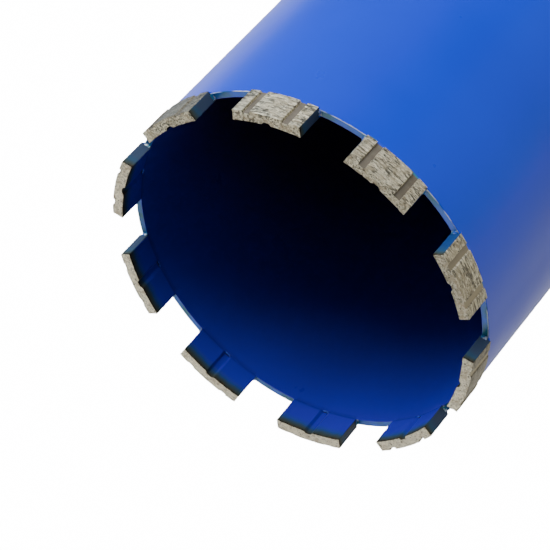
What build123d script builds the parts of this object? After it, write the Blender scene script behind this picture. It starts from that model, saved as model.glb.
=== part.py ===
"""Diamond core bit: a thin steel barrel with ten brazed segments and a threaded hub.

The bit stands on the end face of its hub, with the cutting end up. The origin is the centre
of that face, which seats against the drill spindle, and +Z runs along the axis towards the
segments. Lengths are in millimetres.
"""

import os
from math import asin, cos, degrees, radians, sin

from build123d import *

os.makedirs("parts", exist_ok=True)

# Crown: the ring of segments that cuts
bit_diameter = 132.0
segment_count = 10
segment_length = 24.0
segment_thickness = 3.85
segment_height = 11.5
segment_edge_break = 0.2
first_segment_angle = 18.0

# Axial grooves pressed into each segment: two outside, one inside; the overrun is air that
# each cut passes through beyond the wall
outer_groove_pitch = 14.0
outer_groove_mouth = 2.75
outer_groove_floor = 2.15
outer_groove_depth = 0.8
inner_groove_mouth = 3.7
inner_groove_floor = 1.4
inner_groove_depth = 0.95
groove_overrun = 0.5

# Braze between each segment and the rim of the barrel
braze_thickness = 0.25
braze_fillet = 0.6
braze_toe = 0.12

# Barrel: a plain tube
barrel_length = 450.0
barrel_wall = 2.3
side_clearance = 1.0
rim_round = 0.35

# End plate that closes the rear of the barrel
plate_thickness = 8.0
plate_clearance = 0.1
plate_weld_leg = 3.0
plate_weld_crown = 1.0

# Hub: outside sizes, spanner flats and the spigot that sits in the end plate
hub_diameter = 50.0
hub_length = 40.0
hub_edge_chamfer = 1.0
flats_across = 41.0
flats_length = 20.0
mouth_collar = 9.0
spigot_diameter = 40.0
spigot_clearance = 0.1
hub_weld_leg = 4.0

# Thread of the hub, 1 1/4 in with 7 turns to the inch: the bore is the crest diameter
thread_major_diameter = 31.75
thread_crest_diameter = 28.1
thread_lead_in = 0.4

# Places that follow from the sizes above
bit_radius = bit_diameter / 2
segment_inner_radius = bit_radius - segment_thickness
barrel_radius = bit_radius - side_clearance
barrel_bore_radius = barrel_radius - barrel_wall
plate_radius = barrel_bore_radius - plate_clearance
hub_radius = hub_diameter / 2
spigot_radius = spigot_diameter / 2
crest_radius = thread_crest_diameter / 2
mouth_radius = thread_major_diameter / 2 + thread_lead_in

plate_z = hub_length
plate_top_z = plate_z + plate_thickness
rim_z = plate_z + barrel_length
seat_z = rim_z + braze_thickness

segment_pitch = 360 / segment_count


def make_barrel():
    """The tube, with its outer rim edge rounded over."""
    with BuildPart() as barrel:
        with BuildSketch(Plane.XY.offset(plate_z)):
            Circle(barrel_radius)
            Circle(barrel_bore_radius, mode=Mode.SUBTRACT)
        extrude(amount=barrel_length)
        rim_edges = barrel.edges().filter_by(GeomType.CIRCLE).group_by(Axis.Z)[-1]
        fillet(rim_edges.sort_by(SortBy.RADIUS)[-1], rim_round)
    return barrel.part


def make_back_plate():
    """The disc in the rear of the barrel, chamfered outside for its weld and bored for the hub."""
    with BuildPart() as plate:
        with BuildSketch(Plane.XY.offset(plate_z)):
            Circle(plate_radius)
            Circle(spigot_radius + spigot_clearance, mode=Mode.SUBTRACT)
        extrude(amount=plate_thickness)
        rear_edges = plate.edges().filter_by(GeomType.CIRCLE).group_by(Axis.Z)[0]
        chamfer(rear_edges.sort_by(SortBy.RADIUS)[-1], plate_weld_leg)
    return plate.part


def make_plate_weld():
    """The bead that fills the chamfer of the end plate and laps over the end of the tube."""
    groove_radius = plate_radius - plate_weld_leg
    lap_radius = barrel_bore_radius + barrel_wall / 2
    with BuildPart() as weld:
        with BuildSketch(Plane.XZ):
            with BuildLine():
                Polyline(
                    (groove_radius, plate_z),
                    (plate_radius, plate_z + plate_weld_leg),
                    (barrel_bore_radius, plate_z + plate_weld_leg),
                    (barrel_bore_radius, plate_z),
                    (lap_radius, plate_z),
                    (lap_radius - plate_weld_crown, plate_z - plate_weld_crown),
                    (groove_radius + plate_weld_crown, plate_z - plate_weld_crown),
                    close=True,
                )
            make_face()
        revolve(axis=Axis.Z)
    return weld.part


def make_hub():
    """The turned hub: round collar, shoulder on the plate, spigot through it and two flats."""
    flats_z = mouth_collar + flats_length / 2
    with BuildPart() as hub:
        with BuildSketch(Plane.XY):
            Circle(hub_radius)
        extrude(amount=hub_length)
        chamfer(hub.edges().group_by(Axis.Z)[0], hub_edge_chamfer)
        with BuildSketch(Plane.XY.offset(plate_z)):
            Circle(spigot_radius)
        extrude(amount=plate_thickness)
        for side in (-1, 1):
            with Locations((0, side * (flats_across + hub_diameter) / 2, flats_z)):
                Box(hub_diameter, hub_diameter, flats_length, mode=Mode.SUBTRACT)
        with BuildSketch(Plane.XY):
            Circle(crest_radius)
        extrude(amount=plate_top_z, mode=Mode.SUBTRACT)
        bore_edges = hub.edges().filter_by(GeomType.CIRCLE).group_by(SortBy.RADIUS)[0]
        chamfer(bore_edges, mouth_radius - crest_radius)
    return hub.part


def make_hub_weld():
    """The fillet weld between the hub's root and the rear face of the end plate."""
    with BuildPart() as weld:
        with BuildSketch(Plane.XZ):
            with BuildLine():
                Polyline(
                    (hub_radius, plate_z - hub_weld_leg),
                    (hub_radius, plate_z),
                    (hub_radius + hub_weld_leg, plate_z),
                    close=True,
                )
            make_face()
        revolve(axis=Axis.Z)
    return weld.part


def crown_plane(number, height):
    """The plane across the axis whose own +X runs out through one segment's middle."""
    angle = radians(first_segment_angle + (number - 1) * segment_pitch)
    return Plane(origin=(0, 0, height), x_dir=(cos(angle), sin(angle), 0), z_dir=(0, 0, 1))


def cut_groove(wall_radius, side_angle, mouth, floor, depth):
    """Cut a groove into the sketch's wall, outwards for a negative depth."""
    overrun = groove_overrun if depth > 0 else -groove_overrun
    flare = (mouth - floor) / 2 * overrun / depth
    with PolarLocations(wall_radius, 1, start_angle=side_angle):
        Polygon(
            (-depth, -floor / 2),
            (overrun, -mouth / 2 - flare),
            (overrun, mouth / 2 + flare),
            (-depth, floor / 2),
            align=None,
            mode=Mode.SUBTRACT,
        )


def make_segment(number):
    """One sintered block: parallel ends, faces that follow the ring, three grooves."""
    groove_angle = degrees(asin(outer_groove_pitch / 2 / bit_radius))
    with BuildPart() as segment:
        with BuildSketch(crown_plane(number, seat_z)):
            Circle(bit_radius)
            Circle(segment_inner_radius, mode=Mode.SUBTRACT)
            with Locations((bit_radius, 0)):
                Rectangle(bit_radius, segment_length, mode=Mode.INTERSECT)
            for side in (-1, 1):
                cut_groove(
                    bit_radius,
                    side * groove_angle,
                    outer_groove_mouth,
                    outer_groove_floor,
                    outer_groove_depth,
                )
            cut_groove(
                segment_inner_radius,
                0,
                inner_groove_mouth,
                inner_groove_floor,
                -inner_groove_depth,
            )
        extrude(amount=segment_height)
        chamfer(segment.faces().sort_by(Axis.Z)[-1].edges(), segment_edge_break)
    return segment.part


def make_braze(number):
    """The solder under one segment, drawn up into a hollow fillet at each end."""
    plane = crown_plane(number, rim_z)
    side_plane = Plane(origin=plane.origin, x_dir=plane.y_dir, z_dir=plane.x_dir)
    end = segment_length / 2
    top = braze_thickness + braze_fillet
    toe = end + braze_fillet
    hollow = braze_toe + (braze_fillet - braze_toe) * (1 - cos(radians(45)))
    with BuildPart() as braze:
        with BuildSketch(side_plane):
            with BuildLine():
                ThreePointArc(
                    (toe, braze_toe),
                    (end + hollow, hollow + braze_toe),
                    (end + braze_toe, top),
                )
                Polyline(
                    (end + braze_toe, top),
                    (end, top),
                    (end, braze_thickness),
                    (-end, braze_thickness),
                    (-end, top),
                    (-end - braze_toe, top),
                )
                ThreePointArc(
                    (-end - braze_toe, top),
                    (-end - hollow, hollow + braze_toe),
                    (-toe, braze_toe),
                )
                Polyline((-toe, braze_toe), (-toe, 0), (toe, 0), (toe, braze_toe))
            make_face()
        extrude(amount=bit_radius)
        with BuildSketch(plane):
            Circle(barrel_radius - rim_round)
            Circle(barrel_bore_radius, mode=Mode.SUBTRACT)
        extrude(amount=top, mode=Mode.INTERSECT)
    return braze.part


def save(part, label):
    """Label one finished piece and write it to its own file."""
    part.label = label
    export_step(part, f"parts/{label}.step")


save(make_barrel(), "barrel")
save(make_back_plate(), "back_plate")
save(make_plate_weld(), "plate_weld")
save(make_hub(), "hub")
save(make_hub_weld(), "hub_weld")
for number in range(1, segment_count + 1):
    save(make_segment(number), f"segment_{number:02d}")
    save(make_braze(number), f"braze_{number:02d}")
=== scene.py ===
"""Looks of the diamond core bit: segments, solder, paint, thread, floor, light and camera.

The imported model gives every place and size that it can; the rest are named below. Lengths are
in metres, with MM for millimetres. The bit stands on its hub, with its axis on +Z.
"""

from math import asin, atan, cos, floor, pi, radians, sin, sqrt, tan

import bmesh
import bpy
from mathutils import Matrix, Vector, noise


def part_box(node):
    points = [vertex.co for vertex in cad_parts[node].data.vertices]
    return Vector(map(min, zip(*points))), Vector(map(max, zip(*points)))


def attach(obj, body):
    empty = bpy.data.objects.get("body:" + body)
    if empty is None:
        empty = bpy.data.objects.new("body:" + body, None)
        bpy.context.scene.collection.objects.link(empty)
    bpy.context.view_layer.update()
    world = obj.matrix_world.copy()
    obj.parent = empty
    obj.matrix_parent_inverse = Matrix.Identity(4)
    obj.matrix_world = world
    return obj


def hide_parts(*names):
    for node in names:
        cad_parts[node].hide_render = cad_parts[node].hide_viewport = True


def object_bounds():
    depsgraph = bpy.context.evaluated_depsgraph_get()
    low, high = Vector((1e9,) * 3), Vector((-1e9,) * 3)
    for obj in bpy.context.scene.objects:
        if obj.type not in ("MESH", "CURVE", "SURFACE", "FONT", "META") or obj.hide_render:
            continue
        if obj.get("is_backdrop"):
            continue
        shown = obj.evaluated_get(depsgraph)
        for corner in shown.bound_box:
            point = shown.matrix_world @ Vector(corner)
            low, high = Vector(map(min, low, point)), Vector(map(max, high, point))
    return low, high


MM = 0.001

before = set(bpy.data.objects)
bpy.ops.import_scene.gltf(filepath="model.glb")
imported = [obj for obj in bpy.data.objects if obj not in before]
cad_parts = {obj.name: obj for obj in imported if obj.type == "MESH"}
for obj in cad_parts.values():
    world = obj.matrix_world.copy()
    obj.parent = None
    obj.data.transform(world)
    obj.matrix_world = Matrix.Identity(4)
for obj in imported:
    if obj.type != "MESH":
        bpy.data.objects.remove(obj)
cad_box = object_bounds()

# Segments, as in the solids
SEGMENT_COUNT = 10
SEGMENT_LENGTH = 24.0 * MM
SEGMENT_THICKNESS = 3.85 * MM
FIRST_SEGMENT_ANGLE = radians(18.0)
SEGMENT_PITCH = 2 * pi / SEGMENT_COUNT
BIT_RADIUS = 66.0 * MM
SEGMENT_INNER_RADIUS = BIT_RADIUS - SEGMENT_THICKNESS
BARREL_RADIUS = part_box("barrel")[1][0]
BARREL_WALL = 2.3 * MM
BORE_RADIUS = BARREL_RADIUS - BARREL_WALL
RIM_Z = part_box("barrel")[1][2]
SEAT_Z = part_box("segment_01")[0][2]
CUTTING_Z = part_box("segment_01")[1][2]

# Grooves: distance from the segment's middle, width at the mouth, width at the floor, depth
OUTER_GROOVES = (
    (-7.0 * MM, 2.75 * MM, 2.15 * MM, 0.8 * MM),
    (7.0 * MM, 2.75 * MM, 2.15 * MM, 0.8 * MM),
)
INNER_GROOVES = ((0.0, 3.6 * MM, 1.5 * MM, 0.85 * MM),)

# Half the width over which paint changes at the end of a segment
SOFT_EDGE = 0.3 * MM

# Share of the outer grooves that wear has left open on each segment, from the first to the last
GROOVE_LEFT = (0.85, 0.5, 0.6, 0.3, 1.0, 0.45, 0.7, 1.0, 1.0, 0.7)

# Surface detail of the segments; a grain is the size of its lumps and a seed of its own
GRID_STEP = 0.22 * MM
EDGE_WEAR = 0.08 * MM
CHIP_DEPTH = 1.1 * MM
TOP_ROUGHNESS = 0.16 * MM
PIT_DEPTH = 0.35 * MM
GRIND_RIPPLE = 0.06 * MM
PAINT_WAVE = 0.04 * MM
WEAR_GRAIN = (1.1 * MM, 0)
CHIP_GRAIN = (1.7 * MM, 40)
FINE_GRAIN = (0.45 * MM, 0)
COARSE_GRAIN = (1.6 * MM, 20)
PIT_GRAIN = (0.8 * MM, 60)
SLANT_GRAIN = (7.0 * MM, 90)
RIPPLE_GRAIN = (0.62 * MM, 80)
INSIDE_GRAIN = (3.0 * MM, 100)
END_GRAIN = (2.6 * MM, 120)
CHIP_SHARE = 0.18
PIT_SHARE = 0.3
RIPPLE_STRETCH = 0.28
RIPPLE_LEAST = 0.12
SHARP_ANGLE = radians(50)

# Materials of a segment's faces, in the order of its material slots
GROUND, CUT, PRESSED, PAINTED_INSIDE, PAINTED_END = range(5)

# Fillets of solder under a segment: how far each reaches out from its wall, and its seed
INNER_OVERHANG = (-0.5 * MM, 0)
OUTER_OVERHANG = (0.9 * MM, 30)
BEAD_STEPS = 60
BEAD_GRAIN = 2.2 * MM
BEAD_SWELL = 0.35
BEAD_LEAST = 0.15 * MM
BEAD_END_GAP = 0.25 * MM
BEAD_DROP = 1.1
BEAD_BITE = 0.05 * MM
BEAD_SINK = 0.01 * MM
SPARK_OFFSET = -0.3 * MM
SPARK_REACH = 0.8 * MM

# Hub, as in the solid, with the thread that the solid leaves out: 1 1/4 in, 7 turns to the inch
HUB_RADIUS = 25.0 * MM
HUB_CHAMFER = 1.0 * MM
PLATE_Z = 40.0 * MM
HUB_TOP_Z = 48.0 * MM
SPIGOT_RADIUS = 20.0 * MM
FLATS_ACROSS = 41.0 * MM
FLATS_LOW = 9.0 * MM
FLATS_HIGH = 29.0 * MM
FLAT_BREAK = 0.1 * MM
THREAD_PITCH = 25.4 / 7 * MM
THREAD_ROOT_RADIUS = 15.875 * MM
THREAD_CREST_RADIUS = 14.05 * MM
THREAD_MOUTH_RADIUS = 16.275 * MM
THREAD_STEP = 0.2 * MM
HUB_STEPS = 180

# Weld beads, in millimetres: radius, height, and how far a ripple moves that point out and down
PLATE_WELD = (
    (59.6, 40.0, 0.0, 0.0),
    (62.6, 43.0, 0.0, 0.0),
    (63.85, 40.0, 0.0, 0.0),
    (63.6, 39.5, 0.5, 0.8),
    (62.9, 39.1, 0.2, 1.0),
    (61.9, 39.0, 0.0, 1.0),
    (60.9, 39.1, -0.2, 1.0),
    (60.0, 39.5, -0.5, 0.8),
)
HUB_WELD = (
    (24.9, 36.0, 0.0, 0.0),
    (24.9, 40.0, 0.0, 0.0),
    (29.0, 40.0, 0.0, 0.0),
    (28.4, 39.2, 0.6, 0.6),
    (27.5, 38.2, 0.7, 0.7),
    (26.5, 37.2, 0.7, 0.7),
    (25.6, 36.4, 0.6, 0.6),
)
WELD_RIPPLE = 0.22 * MM
PLATE_WELD_RIPPLES = 150
HUB_WELD_RIPPLES = 64
STEPS_PER_RIPPLE = 6
RIPPLE_LAG = 2.2
DRIFT_GRAIN = 0.12
DRIFT_TURN = 3.0

# Painted shade inside the barrel: how deep the inside paint reaches before it is all dark, and how
# much sooner on the +X side
SHADE_FADE_DEPTH = 120 * MM
SHADE_FADE_TILT = 80 * MM
SHADE_FADE_SHIFT = 14 * MM

# Sinter: how far its ripples stray from the level, and how deep their relief is
RIPPLE_SWAY = 2.0 * MM
SINTER_RELIEF = 0.34 * MM

# Camera, fitted to the segment corners, the rim and the barrel's sides in the photograph
IMAGE_PX = 550
FOCAL_PX = 2759.6
CAMERA_AZIMUTH = radians(0.679)
CAMERA_ELEVATION = radians(38.888)
CAMERA_ROLL = radians(138.038)
CAMERA_DISTANCE = 883.95 * MM
CAMERA_AIM = Vector((5.45 * MM, 14.57 * MM, 490.0 * MM))
CLIP_NEAR = 0.05
CLIP_FAR = 50.0

# Backdrop
BACKDROP_RADIUS = 8.0
BACKDROP_GLOW = 15.0

# Room: the light's strength from below the horizon and from above it, and between which heights
# of the direction it changes; its colour changes the same way from the -X side to the +X side
ROOM_BELOW = 0.7
ROOM_ABOVE = 0.05
ROOM_LOW = -0.2
ROOM_HIGH = 0.2
ROOM_WEST = -0.1
ROOM_EAST = 0.3

# Lamps: azimuth from +X, elevation above the floor, spread (degrees) and strength
KEY_LAMP = (319, 6, 44, 3.15)
SIDE_LAMP = (16, 4, 50, 1.75)
FILL_LAMP = (240, 8, 60, 0.18)
TABLE_LAMP = (152, -32, 110, 0.28)
TOP_LAMP = (90, 58, 50, 2.0)
BENCH_LAMP = (335, -30, 50, 0.75)
SHEEN_LAMP = (212, -38, 90, 1.2)
EDGE_LAMP = (60, -38, 40, 0.3)
FLOOR_LAMP = (60, 75, 60, 55.0)


def srgb(red, green, blue):
    """A linear colour from the 0 to 255 values of a screen colour."""
    def linear(value):
        value /= 255
        return value / 12.92 if value <= 0.04045 else ((value + 0.055) / 1.055) ** 2.4
    return (linear(red), linear(green), linear(blue), 1.0)


# Colours
PAINT_BLUE = srgb(3, 57, 217)
PAINT_DEEP = srgb(2, 53, 208)
# Painted shade: the same enamel as outside, made darker for the unlit inside of the barrel and the
# segments
PAINT_INSIDE_SHADED = srgb(50, 50, 180)
# Painted shade: the dark that the inside paint turns to far down the barrel
INSIDE_SHADE_DARK = srgb(74, 66, 66)
PAINT_THIN = srgb(42, 82, 112)
PAINT_OLIVE = srgb(62, 70, 62)
# Painted shadow under the segments' overhangs, where they meet the barrel
JOINT_SHADOW = srgb(14, 20, 62)
RIM_TEAL = srgb(34, 92, 112)
RIM_BLUE = srgb(30, 84, 190)
# Painted highlight along the rim's rounded outer edge
RIM_HIGHLIGHT = srgb(205, 215, 225)
END_BLUE = srgb(30, 66, 124)
END_SLATE = srgb(58, 72, 96)
SINTER_GREY = srgb(212, 203, 174)
SINTER_WARM = srgb(196, 182, 150)
SINTER_TAN = srgb(150, 132, 104)
SINTER_PALE = srgb(255, 246, 216)
SINTER_DARK = srgb(92, 86, 72)
SINTER_BROWN = srgb(104, 96, 82)
SINTER_PIT = srgb(46, 41, 33)
GROOVE_GREY = srgb(124, 115, 100)
SCORCH = srgb(40, 36, 30)
SCORCH_BROWN = srgb(74, 60, 46)
SOLDER_SILVER = srgb(205, 212, 222)
SOLDER_TEAL = srgb(40, 120, 140)
# Painted highlight: the bluish glint at the foot of each inner groove
SPARK_HIGHLIGHT = srgb(96, 126, 235)
STEEL_GREY = srgb(176, 176, 174)
STEEL_DULL = srgb(128, 124, 118)
FLOOR_WHITE = (0.9, 0.9, 0.9, 1.0)
GLOW_WHITE = (1.0, 1.0, 1.0, 1.0)
LAMP_WHITE = (1.0, 1.0, 1.0)
LAMP_SKY = (0.66, 0.86, 1.0)
ROOM_WARM = (1.0, 0.98, 0.88, 1.0)
ROOM_DIM = (0.45, 0.6, 0.9, 1.0)


class Nodes:
    """A material's node tree, with short calls to add nodes and join them."""

    def __init__(self, name):
        self.material = bpy.data.materials.new(name)
        self.material.use_nodes = True
        self.tree = self.material.node_tree
        self.tree.nodes.clear()
        self.shader = self.add("ShaderNodeBsdfPrincipled")
        output = self.add("ShaderNodeOutputMaterial")
        self.join(self.shader.outputs["BSDF"], output.inputs["Surface"])

    def add(self, kind, **settings):
        """A node of one kind, with the properties given."""
        node = self.tree.nodes.new(kind)
        for key, value in settings.items():
            setattr(node, key, value)
        return node

    def join(self, source, target):
        """Feed a socket, or a plain number or colour, into another socket."""
        if isinstance(source, (int, float, tuple)):
            target.default_value = source
        else:
            self.tree.links.new(source, target)

    def math(self, operation, first, second=0.0):
        """A math node's value."""
        node = self.add("ShaderNodeMath", operation=operation)
        self.join(first, node.inputs[0])
        self.join(second, node.inputs[1])
        return node.outputs[0]

    def place(self):
        """The object's own coordinates, in metres."""
        return self.add("ShaderNodeTexCoord").outputs["Object"]

    def noise(self, vector, scale, detail=3.0, roughness=0.5):
        """A noise value between 0 and 1."""
        node = self.add("ShaderNodeTexNoise")
        self.join(vector, node.inputs["Vector"])
        node.inputs["Scale"].default_value = scale
        node.inputs["Detail"].default_value = detail
        node.inputs["Roughness"].default_value = roughness
        return node.outputs["Fac"]

    def ramp(self, value, low, high):
        """0 below low, 1 above high, and smooth between."""
        node = self.add("ShaderNodeMapRange", interpolation_type="SMOOTHSTEP")
        self.join(value, node.inputs["Value"])
        node.inputs["From Min"].default_value = low
        node.inputs["From Max"].default_value = high
        return node.outputs["Result"]

    def mix(self, share, first, second):
        """A colour between two: each is a socket or a plain colour."""
        node = self.add("ShaderNodeMix", data_type="RGBA")
        self.join(share, node.inputs["Factor"])
        self.join(first, node.inputs["A"])
        self.join(second, node.inputs["B"])
        return node.outputs["Result"]

    def layers(self, colour, *coats):
        """A colour with others laid over it, each given as its share and its colour."""
        for share, coat in coats:
            colour = self.mix(share, colour, coat)
        return colour

    def surface(self, colour, roughness, specular=0.5, metallic=0.0):
        """Feed the shader its colour and roughness, and set what is the same all over."""
        self.join(colour, self.shader.inputs["Base Color"])
        self.join(roughness, self.shader.inputs["Roughness"])
        self.shader.inputs["Specular IOR Level"].default_value = specular
        self.shader.inputs["Metallic"].default_value = metallic

    def blend(self, share, low, high):
        """A number between two plain numbers."""
        node = self.add("ShaderNodeMapRange")
        self.join(share, node.inputs["Value"])
        node.inputs["To Min"].default_value = low
        node.inputs["To Max"].default_value = high
        return node.outputs["Result"]

    def bump(self, height, distance, strength=1.0):
        """Raise the surface by height times distance."""
        node = self.add("ShaderNodeBump")
        self.join(height, node.inputs["Height"])
        node.inputs["Distance"].default_value = distance
        node.inputs["Strength"].default_value = strength
        self.join(node.outputs["Normal"], self.shader.inputs["Normal"])

    def parts(self, vector):
        """The three numbers of a vector."""
        split = self.add("ShaderNodeSeparateXYZ")
        self.join(vector, split.inputs["Vector"])
        return split.outputs["X"], split.outputs["Y"], split.outputs["Z"]

    def vector(self, x, y, z):
        """A vector of three numbers."""
        node = self.add("ShaderNodeCombineXYZ")
        self.join(x, node.inputs["X"])
        self.join(y, node.inputs["Y"])
        self.join(z, node.inputs["Z"])
        return node.outputs["Vector"]

    def times(self, first, second):
        """The product of two numbers."""
        return self.math("MULTIPLY", first, second)

    def ring(self):
        """Coordinates that follow the ring: metres round it, the radius and the height."""
        x, y, z = self.parts(self.place())
        angle = self.math("ARCTAN2", y, x)
        squares = self.math("ADD", self.times(x, x), self.times(y, y))
        return self.vector(self.times(angle, BIT_RADIUS), self.math("SQRT", squares), z)

    def under_segments(self, ring, reach=SEGMENT_LENGTH / 2):
        """1 within a distance of the middle of a segment, measured round the ring, and 0 beyond."""
        turns = self.times(self.parts(ring)[0], SEGMENT_COUNT / BIT_RADIUS)
        wave = self.math("COSINE", self.math("SUBTRACT", turns, SEGMENT_COUNT * FIRST_SEGMENT_ANGLE))
        near = cos(SEGMENT_COUNT * (reach - SOFT_EDGE) / BIT_RADIUS)
        far = cos(SEGMENT_COUNT * (reach + SOFT_EDGE) / BIT_RADIUS)
        return self.ramp(wave, far, near)

    def shear(self, ring, shift):
        """Ring coordinates with the height moved by a shift."""
        length, radius, height = self.parts(ring)
        return self.vector(length, radius, self.math("ADD", height, shift))

    def stretch(self, vector, x, y, z):
        """Coordinates scaled by three factors."""
        node = self.add("ShaderNodeVectorMath", operation="MULTIPLY")
        self.join(vector, node.inputs[0])
        node.inputs[1].default_value = (x, y, z)
        return node.outputs["Vector"]


def blue_paint():
    """Blue enamel, thin and teal on the rim; inside it carries painted shade, darker and dark far
    down, sooner on the +X side, with a painted shadow under the segments; a pale line along the rim's
    outer edge is a painted highlight.
    """
    n = Nodes("blue_paint")
    place = n.place()
    ring = n.ring()
    x = n.parts(place)[0]
    _, radius, height = n.parts(ring)
    depth = n.math("SUBTRACT", RIM_Z, height)
    outside = n.mix(n.ramp(n.noise(place, 18.0, 2.0), 0.3, 0.7), PAINT_BLUE, PAINT_DEEP)

    # Painted shade: the inside paint darkens with depth, and sooner on the +X side
    tilted = n.times(depth, n.math("ADD", n.times(x, 1 / SHADE_FADE_TILT), 1.0))
    shaded = n.times(n.ramp(x, 35 * MM, 60 * MM), SHADE_FADE_SHIFT)
    deep_shade = n.ramp(n.math("ADD", tilted, shaded), 0.0, SHADE_FADE_DEPTH)
    # Painted shadow along the joint under each segment's inner overhang
    joint_shadow = n.times(n.under_segments(ring), n.ramp(depth, 2.2 * MM, 0.2 * MM))
    inside = n.layers(PAINT_INSIDE_SHADED, (deep_shade, INSIDE_SHADE_DARK), (n.times(joint_shadow, 0.25), JOINT_SHADOW))
    within = n.ramp(radius, BORE_RADIUS + 0.15 * MM, BORE_RADIUS + 0.05 * MM)
    within = n.times(within, n.ramp(height, PLATE_Z + 1 * MM, PLATE_Z + 2 * MM))

    ragged = n.math("ADD", depth, n.times(n.noise(ring, 900.0, 3.0), 0.2 * MM))
    rim = n.ramp(ragged, 0.3 * MM, 0.15 * MM)
    rim = n.times(rim, n.ramp(radius, BORE_RADIUS, BORE_RADIUS + 0.2 * MM))
    # Painted highlight: a pale broken line along the rim's outer edge
    edge = n.ramp(radius, BARREL_RADIUS - 0.42 * MM, BARREL_RADIUS - 0.28 * MM)
    edge = n.times(edge, n.ramp(n.noise(ring, 120.0, 2.0), 0.40, 0.55))
    rim_paint = n.mix(n.ramp(n.noise(ring, 160.0, 3.0), 0.35, 0.65), RIM_TEAL, RIM_BLUE)
    rim_paint = n.mix(edge, rim_paint, RIM_HIGHLIGHT)

    colour = n.layers(outside, (within, inside), (rim, rim_paint))
    n.surface(colour, n.blend(n.noise(place, 60.0, 4.0), 0.24, 0.36), specular=0.18)
    n.bump(n.noise(place, 300.0, 2.0), 0.02 * MM, 0.4)
    return n.material


def sinter(name, along, out, cracked, pitted):
    """Metal matrix: cream grey, ripples of the given stretch, dark cracks and pits, pale streaks, and
    painted light and shade that differ from side to side.
    """
    n = Nodes(name)
    ring = n.ring()
    x, y, _ = n.parts(n.place())
    shift = n.times(n.math("SUBTRACT", n.noise(ring, 120.0, 2.0), 0.5), RIPPLE_SWAY)
    turned = n.shear(ring, shift)
    drawn = n.stretch(turned, along, out, 1.0)
    ripple = n.noise(drawn, 1500.0, 3.0, 0.7)
    scratch = n.noise(n.stretch(turned, along * 1.4, out, 1.0), 3200.0, 2.0, 0.6)
    bright = n.times(n.ramp(scratch, 0.46, 0.60), n.ramp(ripple, 0.44, 0.58))
    cloud = n.ramp(n.noise(ring, 240.0, 3.0), 0.40, 0.62)
    blotch = n.ramp(n.noise(ring, 480.0, 3.0, 0.6), 0.50, 0.64)

    # Cracks, pits and holes
    away = n.math("ABSOLUTE", n.math("SUBTRACT", n.noise(drawn, 950.0, 3.0, 0.65), 0.5))
    rough = n.ramp(n.noise(ring, 110.0, 2.0), 0.32, 0.48)
    rough = n.times(rough, n.ramp(n.noise(ring, 620.0, 1.0), 0.42, 0.56))
    crack = n.times(n.ramp(away, 0.055, 0.0), n.times(rough, cracked))
    pit = n.ramp(n.noise(ring, 1000.0, 2.0, 0.6), 0.69 - 0.06 * pitted, 0.73 - 0.06 * pitted)
    hole = n.ramp(n.noise(ring, 700.0, 2.0), 0.70 - 0.03 * pitted, 0.73 - 0.03 * pitted)

    # Painted light and shade that differ from one side of the bit to the other: darker towards -X and
    # at both ends along X, lighter towards +Y, with fewer dark marks and less relief there
    shade_minus_x = n.ramp(x, 30 * MM, -45 * MM)
    lit_side = n.ramp(n.math("ADD", y, n.times(x, -0.4)), -55 * MM, 20 * MM)
    shade_x_ends = n.ramp(n.math("ABSOLUTE", x), 44 * MM, 62 * MM)
    dark = n.math("MAXIMUM", n.math("MAXIMUM", pit, hole), crack)
    dark = n.times(dark, n.blend(lit_side, 1.0, 0.8))

    colour = n.layers(
        n.mix(n.ramp(ripple, 0.40, 0.54), SINTER_DARK, SINTER_GREY),
        (n.times(cloud, 0.75), SINTER_WARM),
        (n.times(bright, 0.9), SINTER_PALE),
        (n.times(shade_minus_x, 0.14 + 0.22 * pitted), SINTER_BROWN),
        (n.times(lit_side, 0.42 - 0.2 * cracked), SINTER_PALE),
        (n.times(shade_x_ends, 0.75 * cracked), SINTER_BROWN),
        (n.times(blotch, 0.55 * pitted), SINTER_TAN),
        (n.times(dark, 0.85), SINTER_PIT),
    )
    n.surface(colour, n.blend(ripple, 0.62, 0.3), metallic=0.5)
    relief = n.math("ADD", n.times(ripple, 1.6), n.times(scratch, 0.5))
    relief = n.times(relief, n.blend(lit_side, 1.0, 0.6))
    n.bump(n.math("SUBTRACT", relief, n.times(dark, 0.6)), SINTER_RELIEF)
    return n.material


def pressed_sinter():
    """The floors of the outer grooves: as pressed, darker and smoother, with painted light that makes
    them paler and warmer towards -X.
    """
    n = Nodes("pressed_sinter")
    ring = n.ring()
    # Painted light: paler and warmer towards -X
    lit_side = n.ramp(n.parts(n.place())[0], -15 * MM, -50 * MM)
    colour = n.mix(n.ramp(n.noise(ring, 320.0, 3.0), 0.3, 0.75), SINTER_BROWN, GROOVE_GREY)
    n.surface(n.mix(n.times(lit_side, 0.8), colour, SINTER_WARM), 0.62, metallic=0.2)
    n.bump(n.noise(ring, 1500.0, 2.0), 0.03 * MM, 0.6)
    return n.material


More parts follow.
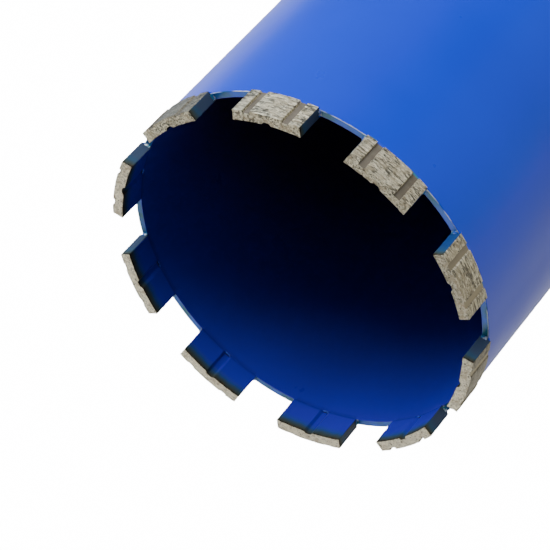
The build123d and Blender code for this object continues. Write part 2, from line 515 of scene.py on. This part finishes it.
def scorched_paint(name, sound, patchy, spread):
    """Paint that thins to olive and then to bare scorched metal towards the cutting edge, with a
    painted shadow at its foot by the seat.
    """
    n = Nodes(name)
    ring = n.ring()
    x, y, height = n.parts(n.place())
    wander = n.math("SUBTRACT", n.noise(ring, 260.0, 4.0), 0.5)
    below = n.math("ADD", n.math("SUBTRACT", CUTTING_Z, height), n.times(wander, spread))
    side = n.math("ADD", n.math("ADD", y, n.times(x, 0.4)), n.times(wander, 20 * MM))
    colour = n.mix(n.ramp(side, -70 * MM, -56 * MM), sound, patchy)
    colour = n.mix(n.ramp(below, 1.4 * MM, 5.4 * MM), PAINT_THIN, colour)
    colour = n.mix(n.ramp(below, 0.8 * MM, 3.4 * MM), PAINT_OLIVE, colour)
    cover = n.ramp(below, 0.2 * MM, 1.3 * MM)
    bare = n.mix(n.ramp(n.noise(ring, 900.0, 2.0), 0.4, 0.6), SCORCH, SCORCH_BROWN)
    # Painted shadow at the segment's foot, where it meets the barrel
    seat_shadow = n.blend(n.ramp(n.math("SUBTRACT", height, SEAT_Z), 0.0, 0.9 * MM), 0.7, 1.0)
    colour = n.mix(seat_shadow, JOINT_SHADOW, n.mix(cover, bare, colour))
    n.surface(colour, n.blend(cover, 0.6, 0.4), specular=0.1)
    n.bump(n.noise(ring, 500.0, 3.0), 0.04 * MM, 0.6)
    return n.material


def solder():
    """Silver solder between the segments: painted over in teal blue, with bright bare beads, and a
    painted shadow where it lies under the segments.
    """
    n = Nodes("solder")
    ring = n.ring()
    lumps = n.noise(ring, 800.0, 2.0)
    bare = n.ramp(lumps, 0.47, 0.56)
    painted = n.mix(n.ramp(n.noise(ring, 300.0, 2.0), 0.4, 0.6), SOLDER_TEAL, RIM_BLUE)
    # Painted shadow on the solder under the segments
    shadow_under_segments = n.times(n.under_segments(ring), 0.85)
    colour = n.layers(painted, (n.times(bare, 0.8), SOLDER_SILVER), (shadow_under_segments, JOINT_SHADOW))
    n.surface(colour, n.blend(bare, 0.35, 0.2), metallic=0.25)
    n.bump(lumps, 0.15 * MM)
    return n.material


def bead_paint():
    """Paint over the fillets of solder: blue, with painted bluish highlights at the middle of the
    inner fillets, at the foot of the inner grooves.
    """
    n = Nodes("bead_paint")
    ring = n.ring()
    outer = n.ramp(n.parts(ring)[1], BARREL_RADIUS - 1.2 * MM, BARREL_RADIUS - 0.8 * MM)
    tint = n.mix(n.ramp(n.noise(ring, 260.0, 2.0), 0.55, 0.68), PAINT_BLUE, SOLDER_TEAL)
    tint = n.mix(outer, PAINT_INSIDE_SHADED, tint)
    middle = n.times(n.under_segments(ring, 1.0 * MM), n.ramp(outer, 1.0, 0.0))
    # Painted highlight: bluish glints at the foot of the inner groove
    spark_highlight = n.times(middle, n.ramp(n.noise(ring, 700.0, 2.0), 0.35, 0.5))
    n.surface(n.mix(spark_highlight, tint, SPARK_HIGHLIGHT), 0.25, specular=0.4)
    n.bump(n.noise(ring, 600.0, 2.0), 0.06 * MM)
    return n.material


def bare_steel():
    """Turned steel: fine marks that run round the axis, and a little dull staining."""
    n = Nodes("bare_steel")
    marks = n.noise(n.stretch(n.ring(), 0.02, 1.0, 1.0), 2600.0, 2.0, 0.6)
    stain = n.ramp(n.noise(n.place(), 140.0, 4.0), 0.45, 0.75)
    n.surface(n.mix(stain, STEEL_GREY, STEEL_DULL), n.blend(marks, 0.28, 0.5), metallic=0.9)
    n.bump(marks, 0.02 * MM, 0.7)
    return n.material


def weld_paint():
    """Blue enamel over a weld bead, a little uneven in colour, gloss and height."""
    n = Nodes("weld_paint")
    place = n.place()
    colour = n.mix(n.noise(place, 90.0, 3.0), PAINT_BLUE, PAINT_DEEP)
    n.surface(colour, n.blend(n.noise(place, 200.0, 3.0), 0.25, 0.42), specular=0.3)
    n.bump(n.noise(place, 700.0, 3.0), 0.08 * MM, 0.8)
    return n.material


def dress(node, material):
    """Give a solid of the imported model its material."""
    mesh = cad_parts[node].data
    mesh.materials.clear()
    mesh.materials.append(material)


class Block:
    """A closed mesh over a grid box: a cell has whole-number places across, out and up."""

    def __init__(self, across, out, up):
        self.counts = (across, out, up)
        self.places = {}
        self.faces = []
        self.slots = []

    def sides(self):
        """Each face of the grid box as its fixed axis, its level and whether it faces outwards."""
        for axis in range(3):
            yield axis, 0, False
            yield axis, self.counts[axis], True

    def build(self, place, slot_of):
        """Make the skin: place gives a grid point's coordinates, slot_of a face's material slot."""
        points = []
        for axis, level, outward in self.sides():
            first, second = [a for a in range(3) if a != axis]
            for i in range(self.counts[first]):
                for j in range(self.counts[second]):
                    ring = []
                    for di, dj in ((0, 0), (1, 0), (1, 1), (0, 1)):
                        cell = [0, 0, 0]
                        cell[axis] = level
                        cell[first] = i + di
                        cell[second] = j + dj
                        cell = tuple(cell)
                        if cell not in self.places:
                            self.places[cell] = len(points)
                            points.append(place(cell))
                        ring.append(self.places[cell])
                    flip = (axis == 1) != outward
                    self.faces.append(ring[::-1] if flip else ring)
                    self.slots.append(slot_of(axis, outward, i))
        return points


def groove_depth(across, grooves):
    """How deep the grooves lie below the wall at one distance from the segment's middle."""
    depth = 0.0
    for middle, mouth, bottom, full in grooves:
        share = (mouth / 2 - abs(across - middle)) / ((mouth - bottom) / 2)
        share = min(max(share, 0.0), 1.0)
        depth = max(depth, full * share**2 * (3 - 2 * share))
    return depth


def stations():
    """Grid lines across the segment: even steps, and a line at every corner of a groove."""
    count = round(SEGMENT_LENGTH / GRID_STEP)
    lines = [SEGMENT_LENGTH * (i / count - 0.5) for i in range(count + 1)]
    for middle, mouth, bottom, _ in OUTER_GROOVES + INNER_GROOVES:
        for half in (mouth / 2, bottom / 2):
            for corner in (middle - half, middle + half):
                nearest = min(range(1, count), key=lambda i: abs(lines[i] - corner))
                lines[nearest] = corner
    return sorted(lines)


def grain(point, number, size, seed):
    """Smooth noise about 0, with lumps of a size in metres, different for every number and seed."""
    seed += number
    return noise.noise(point / size + Vector((seed * 17.3, seed * 5.1, seed * 9.7)))


def segment_directions(number):
    """The directions out through the middle of a segment, and across it."""
    angle = FIRST_SEGMENT_ANGLE + (number - 1) * SEGMENT_PITCH
    return Vector((cos(angle), sin(angle), 0)), Vector((-sin(angle), cos(angle), 0))


def make_piece(name, points, faces, materials, slots):
    """A finished object that rides the bit's one body."""
    mesh = bpy.data.meshes.new(name)
    mesh.from_pydata(points, [], faces)
    for material in materials:
        mesh.materials.append(material)
    mesh.polygons.foreach_set("material_index", slots)
    mesh.shade_smooth()
    mesh.set_sharp_from_angle(angle=SHARP_ANGLE)
    piece = bpy.data.objects.new(name, mesh)
    bpy.context.collection.objects.link(piece)
    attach(piece, "root")
    return piece


def make_segment(number, materials):
    """One segment: ground outside, rough on top, painted elsewhere, with worn and chipped edges."""
    outward, sideways = segment_directions(number)
    lines = stations()
    count_out = round(SEGMENT_THICKNESS / GRID_STEP)
    count_up = round((CUTTING_Z - SEAT_Z) / GRID_STEP)
    block = Block(len(lines) - 1, count_out, count_up)

    def place(cell):
        i, j, k = cell
        across = lines[i]
        groove = groove_depth(across, OUTER_GROOVES)
        outer = sqrt(BIT_RADIUS**2 - across**2) - groove * GROOVE_LEFT[number - 1]
        inner = sqrt(SEGMENT_INNER_RADIUS**2 - across**2) + groove_depth(across, INNER_GROOVES)
        out = inner + (outer - inner) * j / count_out
        up = (CUTTING_Z - SEAT_Z) * k / count_up
        local = Vector((across, out, up))
        on_end = i in (0, len(lines) - 1)
        on_outer = j == count_out
        on_inner = j == 0
        on_top = k == count_up
        sign = 1 if across > 0 else -1
        worn = EDGE_WEAR * (1 + 0.9 * grain(local, number, *WEAR_GRAIN))
        chip = max(0.0, grain(local, number, *CHIP_GRAIN) - CHIP_SHARE) * CHIP_DEPTH
        if on_top:
            rough = grain(local, number, *FINE_GRAIN) + 0.7 * grain(local, number, *COARSE_GRAIN)
            pit = max(0.0, grain(local, number, *PIT_GRAIN) - PIT_SHARE) * 1.6
            local.z -= TOP_ROUGHNESS * (0.8 + 0.5 * rough) + PIT_DEPTH * pit
            if on_outer or on_inner or on_end:
                local.z -= worn + chip
        if on_outer:
            slant = 0.5 * grain(local, number, *SLANT_GRAIN)
            drawn = Vector((across * RIPPLE_STRETCH, 0, up + across * slant * 0.3))
            ripple = grain(drawn, number, *RIPPLE_GRAIN)
            if groove < 0.5 * MM:
                local.y -= GRIND_RIPPLE * max(RIPPLE_LEAST, 0.7 + ripple)
            if on_top or on_end:
                local.y -= worn + 0.6 * chip
        if on_inner:
            local.y += PAINT_WAVE * (0.6 + grain(local, number, *INSIDE_GRAIN))
            if on_top or on_end:
                local.y += worn
        if on_end:
            local.x -= sign * PAINT_WAVE * (0.6 + grain(local, number, *END_GRAIN))
            if on_top or on_outer or on_inner:
                local.x -= sign * (worn + 0.5 * chip)
        return outward * local.y + sideways * local.x + Vector((0, 0, SEAT_Z + local.z))

    def slot_of(axis, far_side, i):
        if axis == 2 and far_side:
            return CUT
        if axis == 1 and far_side:
            middle = (lines[i] + lines[i + 1]) / 2
            on_floor = groove_depth(middle, OUTER_GROOVES) > 0.95 * OUTER_GROOVES[0][3]
            return PRESSED if on_floor else GROUND
        return PAINTED_END if axis == 0 else PAINTED_INSIDE

    points = block.build(place, slot_of)
    node = f"segment_{number:02d}"
    piece = make_piece(f"{node}_body", points, block.faces, materials, block.slots)
    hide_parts(node)


def weld_strip(rings, closed, first_index):
    """Faces of a strip of equal rings of points, with its ends joined or capped."""
    count = len(rings[0])
    faces = []
    steps = len(rings) if closed else len(rings) - 1
    for i in range(steps):
        here = first_index + i * count
        there = first_index + (i + 1) % len(rings) * count
        for j in range(count):
            following = (j + 1) % count
            faces.append([here + j, there + j, there + following, here + following])
    if not closed:
        last = first_index + steps * count
        faces.append([first_index + j for j in range(count)])
        faces.append([last + j for j in range(count)][::-1])
    return faces


def make_bead(number, material):
    """The painted fillets of solder under one segment's inner and outer overhangs."""
    outward, sideways = segment_directions(number)
    reach = SEGMENT_LENGTH / 2 - BEAD_END_GAP
    points = []
    faces = []
    for wall, (overhang, seed) in ((BORE_RADIUS, INNER_OVERHANG), (BARREL_RADIUS, OUTER_OVERHANG)):
        rings = []
        sign = 1 if overhang > 0 else -1
        for i in range(BEAD_STEPS + 1):
            across = reach * (2 * i / BEAD_STEPS - 1)
            lump = grain(Vector((across, seed * MM, 0)), number, BEAD_GRAIN, seed)
            swell = 1 + BEAD_SWELL * lump
            run = overhang * min(1.0, 0.85 * swell)
            if sign > 0:
                run = max(BEAD_LEAST, run - groove_depth(across, OUTER_GROOVES))
            drop = abs(overhang) * swell * BEAD_DROP
            if sign < 0 and abs(across - SPARK_OFFSET) < SPARK_REACH:
                run = overhang * 1.05
                drop *= 1.15
            section = (
                (wall - sign * BEAD_BITE, SEAT_Z - BEAD_SINK),
                (wall + run, SEAT_Z - BEAD_SINK),
                (wall + 0.62 * run, SEAT_Z - BEAD_SINK - 0.2 * drop),
                (wall + 0.3 * run, SEAT_Z - BEAD_SINK - 0.5 * drop),
                (wall + 0.06 * run, SEAT_Z - BEAD_SINK - drop),
                (wall - sign * BEAD_BITE, SEAT_Z - BEAD_SINK - drop),
            )
            ring = []
            for radius, height in section:
                out = sqrt(radius**2 - across**2)
                ring.append(outward * out + sideways * across + Vector((0, 0, height)))
            rings.append(ring[::-1] if sign > 0 else ring)
        faces += weld_strip(rings, False, len(points))
        for ring in rings:
            points += ring
    slots = [0] * len(faces)
    make_piece(f"braze_{number:02d}_bead", points, faces, (material,), slots)


def make_weld(node, section, ripples, material):
    """A weld bead: a section given from toe to toe, turned round the axis and rippled."""
    steps = ripples * STEPS_PER_RIPPLE
    rings = []
    for i in range(steps):
        angle = 2 * pi * i / steps
        drift = grain(Vector((cos(angle), sin(angle), 0)), 0, DRIFT_GRAIN, ripples)
        ring = []
        for j, (radius, level, push_out, push_down) in enumerate(section):
            arch = abs(2 * j / (len(section) - 1) - 1)
            phase = ripples * angle + RIPPLE_LAG * arch**2 + DRIFT_TURN * drift
            move = WELD_RIPPLE * (cos(phase) * (0.8 + drift) - 1) / 2
            out = radius * MM + push_out * move
            height = level * MM - push_down * move
            ring.append(Vector((out * cos(angle), out * sin(angle), height)))
        rings.append(ring[::-1])
    points = [point for ring in rings for point in ring]
    faces = weld_strip(rings, True, 0)
    piece = make_piece(f"{node}_bead", points, faces, (material,), [0] * len(faces))
    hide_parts(node)


def thread_radius(angle, height):
    """The wall of the threaded bore at one place, with the chamfers at both mouths."""
    share = height / THREAD_PITCH - angle / (2 * pi)
    from_root = abs(share - floor(share) - 0.5) * THREAD_PITCH
    slope = tan(radians(60))
    wall = THREAD_ROOT_RADIUS - max(0.0, from_root - THREAD_PITCH / 16) * slope
    wall = max(wall, THREAD_CREST_RADIUS)
    mouth = THREAD_MOUTH_RADIUS - min(height, HUB_TOP_Z - height)
    return max(wall, mouth)


def make_hub(materials):
    """The hub with its real thread: painted outside, bare on the end face and in the bore."""
    flat_edge = asin(FLATS_ACROSS / 2 / HUB_RADIUS)
    angles = [2 * pi * i / HUB_STEPS for i in range(HUB_STEPS)]
    for edge in (flat_edge, pi - flat_edge, pi + flat_edge, 2 * pi - flat_edge):
        nearest = min(range(HUB_STEPS), key=lambda i: abs(angles[i] - edge))
        angles[nearest] = edge
    low, high = FLATS_LOW, FLATS_HIGH
    outside = [
        (HUB_RADIUS - HUB_CHAMFER, 0.0, False),
        (HUB_RADIUS, HUB_CHAMFER, False),
        (HUB_RADIUS, low - FLAT_BREAK, False),
        (HUB_RADIUS, low, True),
        (HUB_RADIUS, high, True),
        (HUB_RADIUS, high + FLAT_BREAK, False),
        (HUB_RADIUS, PLATE_Z, False),
        (SPIGOT_RADIUS, PLATE_Z, False),
        (SPIGOT_RADIUS, HUB_TOP_Z, False),
    ]
    bore_steps = round(HUB_TOP_Z / THREAD_STEP)
    rings = []
    for angle in angles:
        ring = []
        for radius, height, flat in outside:
            if flat:
                radius = min(radius, FLATS_ACROSS / 2 / max(abs(sin(angle)), 0.01))
            ring.append(Vector((radius * cos(angle), radius * sin(angle), height)))
        for k in range(bore_steps + 1):
            height = HUB_TOP_Z * (1 - k / bore_steps)
            radius = thread_radius(angle, height)
            ring.append(Vector((radius * cos(angle), radius * sin(angle), height)))
        rings.append(ring)
    points = [point for ring in rings for point in ring]
    faces = weld_strip(rings, True, 0)
    slots = []
    for i in range(len(rings)):
        for j in range(len(rings[0])):
            slots.append(0 if j < len(outside) - 1 else 1)
    piece = make_piece("hub_body", points, faces, materials, slots)
    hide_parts("hub")


def add_backdrop():
    """A plain pale floor and a pale dome round it, which only the camera sees: gives the floor."""
    glow = Nodes("backdrop_glow")
    glow.shader.inputs["Emission Color"].default_value = GLOW_WHITE
    glow.shader.inputs["Emission Strength"].default_value = BACKDROP_GLOW
    glow.surface(FLOOR_WHITE, 0.5)
    matt = Nodes("floor_white")
    matt.surface(FLOOR_WHITE, 0.8, specular=0.0)

    floor_form = bmesh.new()
    bmesh.ops.create_circle(floor_form, cap_ends=True, segments=96, radius=BACKDROP_RADIUS)
    dome_form = bmesh.new()
    bmesh.ops.create_uvsphere(dome_form, u_segments=96, v_segments=48, radius=BACKDROP_RADIUS)
    pieces = []
    for name, form, nodes in (("floor", floor_form, matt), ("dome", dome_form, glow)):
        mesh = bpy.data.meshes.new(name)
        form.to_mesh(mesh)
        form.free()
        mesh.materials.append(nodes.material)
        piece = bpy.data.objects.new(name, mesh)
        bpy.context.collection.objects.link(piece)
        piece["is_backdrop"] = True
        piece.visible_diffuse = False
        piece.visible_glossy = False
        piece.visible_transmission = False
        piece.visible_shadow = False
        pieces.append(piece)
    return pieces[0]


def add_sun(name, azimuth, elevation, spread, strength, colour=LAMP_WHITE):
    """A wide soft light from one direction, in degrees: azimuth from +X, elevation above the floor."""
    light = bpy.data.lights.new(name, "SUN")
    light.energy = strength
    light.color = colour
    light.angle = radians(spread)
    lamp = bpy.data.objects.new(name, light)
    source = Vector((
        cos(radians(azimuth)) * cos(radians(elevation)),
        sin(radians(azimuth)) * cos(radians(elevation)),
        sin(radians(elevation)),
    ))
    lamp.rotation_mode = "QUATERNION"
    lamp.rotation_quaternion = source.to_track_quat("Z", "Y")
    bpy.context.collection.objects.link(lamp)
    return lamp


def light_only(lamp, piece):
    """Keep a lamp's light off everything but one piece."""
    receivers = bpy.data.collections.new(f"{lamp.name}_receivers")
    receivers.objects.link(piece)
    lamp.light_linking.receiver_collection = receivers


def add_room():
    """Light from all round: from the pale table below, little from above, dimmer on the +X side."""
    world = bpy.data.worlds.new("studio")
    world.use_nodes = True
    tree = world.node_tree
    background = tree.nodes["Background"]
    direction = tree.nodes.new("ShaderNodeTexCoord")
    split = tree.nodes.new("ShaderNodeSeparateXYZ")
    tree.links.new(direction.outputs["Generated"], split.inputs["Vector"])

    fade = tree.nodes.new("ShaderNodeMapRange")
    fade.inputs["From Min"].default_value = ROOM_LOW
    fade.inputs["From Max"].default_value = ROOM_HIGH
    fade.inputs["To Min"].default_value = ROOM_BELOW
    fade.inputs["To Max"].default_value = ROOM_ABOVE
    tree.links.new(split.outputs["Z"], fade.inputs["Value"])
    tree.links.new(fade.outputs["Result"], background.inputs["Strength"])

    turn = tree.nodes.new("ShaderNodeMapRange")
    turn.inputs["From Min"].default_value = ROOM_WEST
    turn.inputs["From Max"].default_value = ROOM_EAST
    tint = tree.nodes.new("ShaderNodeMix")
    tint.data_type = "RGBA"
    tint.inputs["A"].default_value = ROOM_WARM
    tint.inputs["B"].default_value = ROOM_DIM
    tree.links.new(split.outputs["X"], turn.inputs["Value"])
    tree.links.new(turn.outputs["Result"], tint.inputs["Factor"])
    tree.links.new(tint.outputs["Result"], background.inputs["Color"])
    bpy.context.scene.world = world


def add_lamps(floor_piece):
    """Soft suns round the bit, two that only add gloss to the barrel, and one for the floor."""
    add_sun("key", *KEY_LAMP)
    add_sun("side", *SIDE_LAMP, LAMP_SKY)
    add_sun("fill", *FILL_LAMP)
    add_sun("table", *TABLE_LAMP)
    add_sun("top", *TOP_LAMP)
    add_sun("bench", *BENCH_LAMP).visible_glossy = False
    for lamp in (add_sun("sheen", *SHEEN_LAMP), add_sun("edge", *EDGE_LAMP)):
        lamp.visible_diffuse = False
        light_only(lamp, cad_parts["barrel"])
    light_only(add_sun("floor_lamp", *FLOOR_LAMP), floor_piece)


def add_camera():
    """The photograph's camera: long lens, above the open end, rolled so the axis lies aslant."""
    forward = Vector((
        sin(CAMERA_AZIMUTH) * cos(CAMERA_ELEVATION),
        cos(CAMERA_AZIMUTH) * cos(CAMERA_ELEVATION),
        -sin(CAMERA_ELEVATION),
    ))
    level_right = forward.cross(Vector((0, 0, 1))).normalized()
    level_up = level_right.cross(forward)
    up = cos(CAMERA_ROLL) * level_up + sin(CAMERA_ROLL) * level_right
    right = forward.cross(up)
    turn = Matrix((right, up, -forward)).transposed().to_4x4()
    camera = bpy.data.cameras.new("camera")
    camera.angle = 2 * atan(IMAGE_PX / 2 / FOCAL_PX)
    camera.clip_start = CLIP_NEAR
    camera.clip_end = CLIP_FAR
    place = CAMERA_AIM - forward * CAMERA_DISTANCE
    camera_object = bpy.data.objects.new("camera", camera)
    camera_object.matrix_world = Matrix.Translation(place) @ turn
    bpy.context.collection.objects.link(camera_object)
    bpy.context.scene.camera = camera_object


paint = blue_paint()
segment_materials = (
    sinter("ground_sinter", 0.2, 0.5, cracked=1.0, pitted=0.0),
    sinter("cut_sinter", 0.8, 0.9, cracked=0.0, pitted=1.0),
    pressed_sinter(),
    scorched_paint("paint_inside", PAINT_INSIDE_SHADED, PAINT_INSIDE_SHADED, 1.6 * MM),
    scorched_paint("paint_end", END_BLUE, END_SLATE, 3.0 * MM),
)
braze = solder()
bead = bead_paint()
weld = weld_paint()
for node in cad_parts:
    dress(node, braze if node.startswith("braze") else paint)
for number in range(1, SEGMENT_COUNT + 1):
    make_segment(number, segment_materials)
    make_bead(number, bead)
make_hub((paint, bare_steel()))
make_weld("plate_weld", PLATE_WELD, PLATE_WELD_RIPPLES, weld)
make_weld("hub_weld", HUB_WELD, HUB_WELD_RIPPLES, weld)

floor_piece = add_backdrop()
add_room()
add_lamps(floor_piece)
add_camera()

boxes = {"cad": cad_box, "visual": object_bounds()}
{name: [list(corner) for corner in box] for name, box in boxes.items()}
